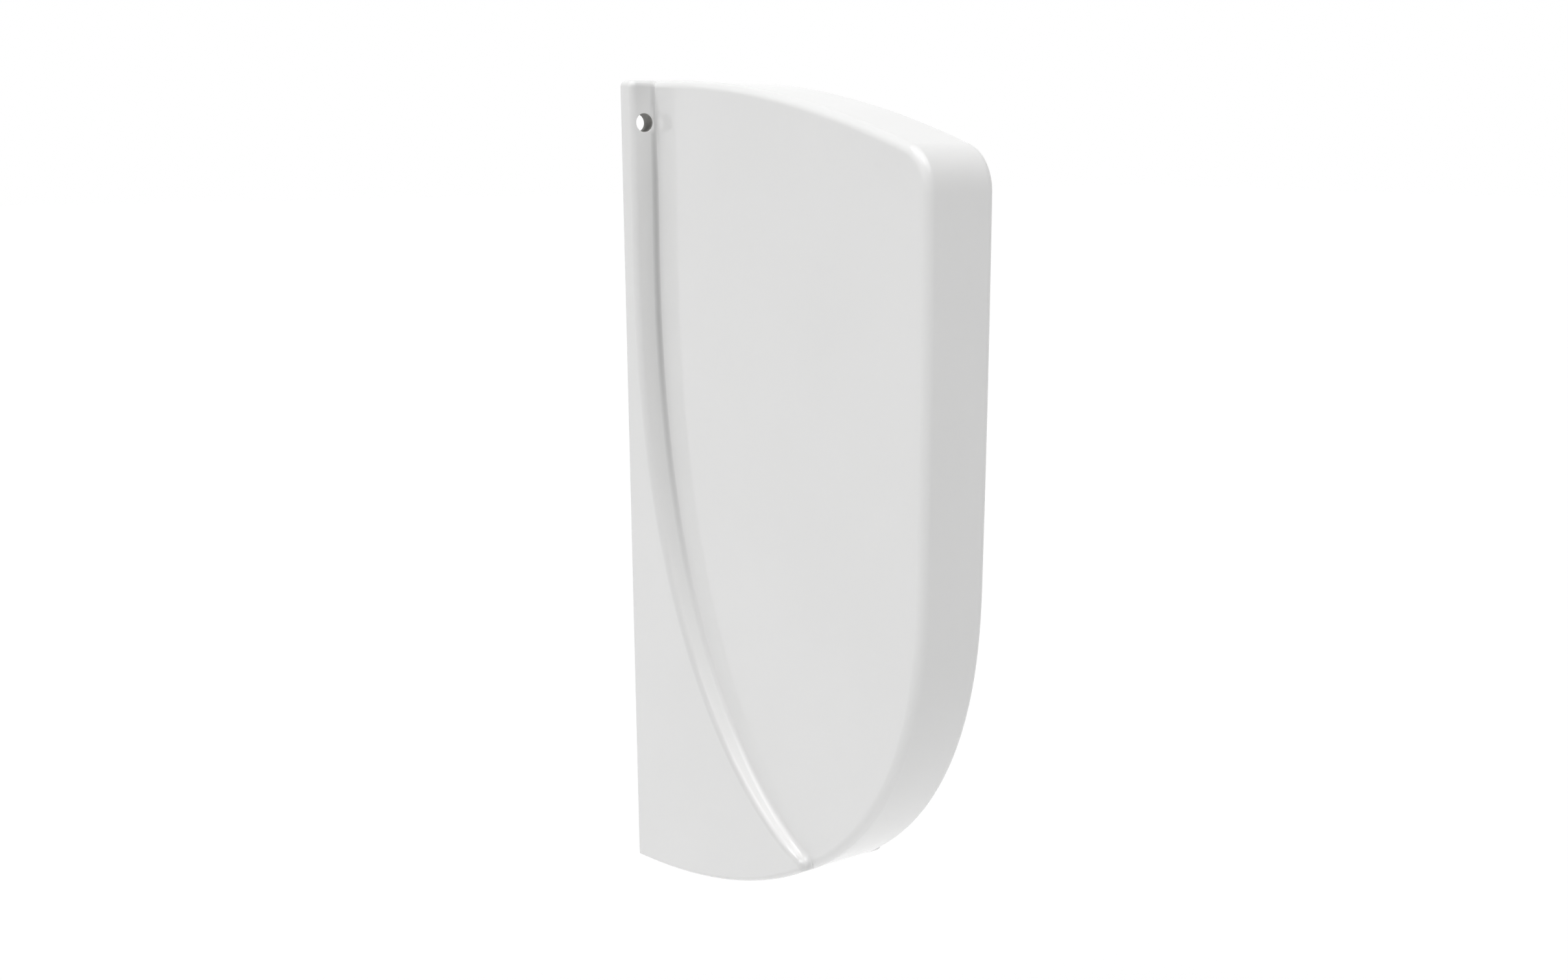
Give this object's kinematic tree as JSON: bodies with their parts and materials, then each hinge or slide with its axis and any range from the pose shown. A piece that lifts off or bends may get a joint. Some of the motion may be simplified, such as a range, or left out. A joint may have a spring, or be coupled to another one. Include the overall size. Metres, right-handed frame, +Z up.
{
  "type": "urinal privacy screen",
  "caption": "Upright hollow ceramic screen that hangs on a wall: a thick rounded panel on a base that sweeps forward to a tip, with flange holes and a concealed hanger.",
  "frame": {"origin": "on the finished wall, on the screen's centre line, level with the lowest point of the casting's back rim", "axes": "+Z up, +Y into the wall, so the screen stands out towards -Y; X runs along the wall and the screen is symmetric about X = 0"},
  "size_m": [0.113, 0.4304, 0.7],
  "materials": {
    "china": "white glossy glaze",
    "hanger_steel": "pressed, galvanised",
    "cushion_rubber": "matt black",
    "screw_steel": "zinc plated",
    "nylon": "moulded, grey"
  },
  "bodies": {
    "root": {"screen_body": "china", "wall_hanger": "hanger_steel", "lip_cushion": "cushion_rubber", "hanger_screws": "screw_steel", "hanger_washers": "screw_steel", "wall_plugs": "nylon"}
  },
  "joints": []
}
